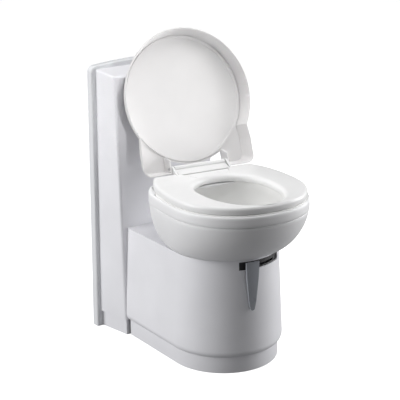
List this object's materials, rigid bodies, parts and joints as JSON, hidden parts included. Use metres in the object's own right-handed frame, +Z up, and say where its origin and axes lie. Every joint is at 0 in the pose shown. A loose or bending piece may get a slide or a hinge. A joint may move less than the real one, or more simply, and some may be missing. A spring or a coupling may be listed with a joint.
{
  "type": "cassette toilet",
  "caption": "Fixed caravan toilet with a turning bowl, hinged seat and lid, tall wall console, grey valve lever and a slide-out holding cassette behind.",
  "frame": {"origin": "on the floor in the middle of the wall plate's wall face", "axes": "+Z up, +Y into the wall, +X to the user's left when seated; the toilet faces -Y"},
  "size_m": [0.4526, 0.6682, 0.9276],
  "materials": {
    "plate_white": "satin white moulding",
    "housing_white": "satin white moulding",
    "bowl_white": "gloss white moulding",
    "seat_white": "gloss white moulding",
    "lid_white": "satin white moulding",
    "inlay_ceramic": "glazed white",
    "lever_grey": "dark grey, fine grain",
    "slider_black": "black acetal",
    "frame_grey": "grey glass-filled moulding",
    "tank_grey": "pale grey polyethylene",
    "seal_black": "black rubber",
    "grip_rubber": "soft grey rubber",
    "buffer_pale": "pale soft pads",
    "pin_steel": "stainless",
    "cap_green": "dark green cap",
    "valve_brass": "brass body",
    "hose_grey": "grey hose",
    "board_green": "circuit board",
    "window_clear": "smoked window",
    "button_white": "pale grey cap"
  },
  "bodies": {
    "base": {"back_plate": "plate_white", "console_housing": "housing_white", "housing_screws": "pin_steel", "control_panel": "plate_white", "level_window": "window_clear", "control_board": "board_green", "pedestal_shell": "housing_white", "swivel_liner": "slider_black", "lever_track": "slider_black", "base_tray": "frame_grey", "support_posts": "frame_grey", "deck_plate": "frame_grey", "deck_screws": "pin_steel", "outlet_funnel": "slider_black", "outlet_seal": "seal_black", "flush_valve": "valve_brass", "supply_hose": "hose_grey", "wiring_loom": "seal_black", "latch_pin": "pin_steel"},
    "button": {"flush_button": "button_white"},
    "bowl": {"bowl_shell": "bowl_white", "retaining_ring": "slider_black", "bowl_inlay": "inlay_ceramic", "flush_pipe": "hose_grey", "flush_nozzle": "plate_white", "hinge_block": "seat_white", "hinge_screws": "pin_steel", "hinge_pins": "pin_steel"},
    "seat": {"seat": "seat_white", "seat_buffers": "grip_rubber"},
    "lid": {"lid_shell": "lid_white", "lid_panel": "lid_white", "lid_buffers": "buffer_pale"},
    "lever": {"lever_ring": "slider_black", "valve_lever": "lever_grey"},
    "drive": {"drive_gear": "slider_black", "drive_dog": "slider_black"},
    "cassette": {"tank_body": "tank_grey", "valve_housing": "tank_grey", "lip_seal": "seal_black", "handle_pins": "pin_steel", "float_bracket": "tank_grey"},
    "blade": {"valve_blade": "slider_black", "blade_spindle": "slider_black"},
    "spout": {"spout": "tank_grey", "cap_seal": "seal_black"},
    "cap": {"spout_cap": "cap_green"},
    "vent": {"vent_button": "cap_green"},
    "handle": {"carry_handle": "tank_grey", "handle_grip": "grip_rubber"},
    "wheels": {"wheel_axle": "pin_steel", "tank_wheels": "slider_black"},
    "float": {"level_float": "slider_black"},
    "latch": {"tank_latch": "lever_grey"}
  },
  "joints": [
    {"name": "flush_press", "type": "slide", "parent": "base", "child": "button", "axis": [0, 0.133, -0.9911], "range_m": [0, 0.003], "stiffness_N_per_m": 400},
    {"name": "bowl_swivel", "type": "hinge", "parent": "base", "child": "bowl", "pos_m": [0, -0.4, 0.34], "axis": [0, 0, 1], "range_deg": [0, 15.6]},
    {"name": "seat_hinge", "type": "hinge", "parent": "bowl", "child": "seat", "pos_m": [0.01941, -0.25832, 0.5382], "axis": [-0.9907, 0.1357, 0], "range_deg": [0, 105]},
    {"name": "lid_hinge", "type": "hinge", "parent": "bowl", "child": "lid", "pos_m": [0.01941, -0.25832, 0.5382], "axis": [-0.9907, 0.1357, 0], "range_deg": [-109.3, 0]},
    {"name": "valve_turn", "type": "hinge", "parent": "base", "child": "lever", "pos_m": [0, -0.4, 0.315], "axis": [0, 0, 1], "range_deg": [0, 30]},
    {"name": "drive_turn", "type": "hinge", "parent": "base", "child": "drive", "pos_m": [0, -0.328, 0.315], "axis": [0, 0, 1], "range_deg": [-90, 0]},
    {"name": "cassette_slide", "type": "slide", "parent": "base", "child": "cassette", "axis": [0, 1, 0], "range_m": [0, 0.42]},
    {"name": "blade_turn", "type": "hinge", "parent": "cassette", "child": "blade", "pos_m": [0, -0.328, 0.245], "axis": [0, 0, 1], "range_deg": [-90, 0]},
    {"name": "spout_swing", "type": "hinge", "parent": "cassette", "child": "spout", "pos_m": [-0.075, -0.046, 0.175], "axis": [0, 1, 0], "range_deg": [0, 90]},
    {"name": "cap_turn", "type": "hinge", "parent": "spout", "child": "cap", "pos_m": [0.043, -0.046, 0.175], "axis": [1, 0, 0], "continuous": true},
    {"name": "vent_press", "type": "slide", "parent": "cassette", "child": "vent", "axis": [0, 0, -1], "range_m": [0, 0.003], "stiffness_N_per_m": 300},
    {"name": "handle_lift", "type": "hinge", "parent": "cassette", "child": "handle", "pos_m": [0, -0.1, 0.238], "axis": [-1, 0, 0], "range_deg": [0, 90]},
    {"name": "wheel_roll", "type": "hinge", "parent": "cassette", "child": "wheels", "pos_m": [0, -0.462, 0.0243], "axis": [1, 0, 0], "continuous": true},
    {"name": "float_swing", "type": "hinge", "parent": "cassette", "child": "float", "pos_m": [0.043, -0.18, 0.2], "axis": [1, 0, 0], "range_deg": [0, 34]},
    {"name": "latch_lift", "type": "hinge", "parent": "base", "child": "latch", "pos_m": [0, -0.058, 0.012], "axis": [1, 0, 0], "range_deg": [0, 90]}
  ],
  "couplings": [
    {"joint": "drive_turn", "follows": "valve_turn", "ratio": -3},
    {"joint": "blade_turn", "follows": "valve_turn", "ratio": -3}
  ]
}
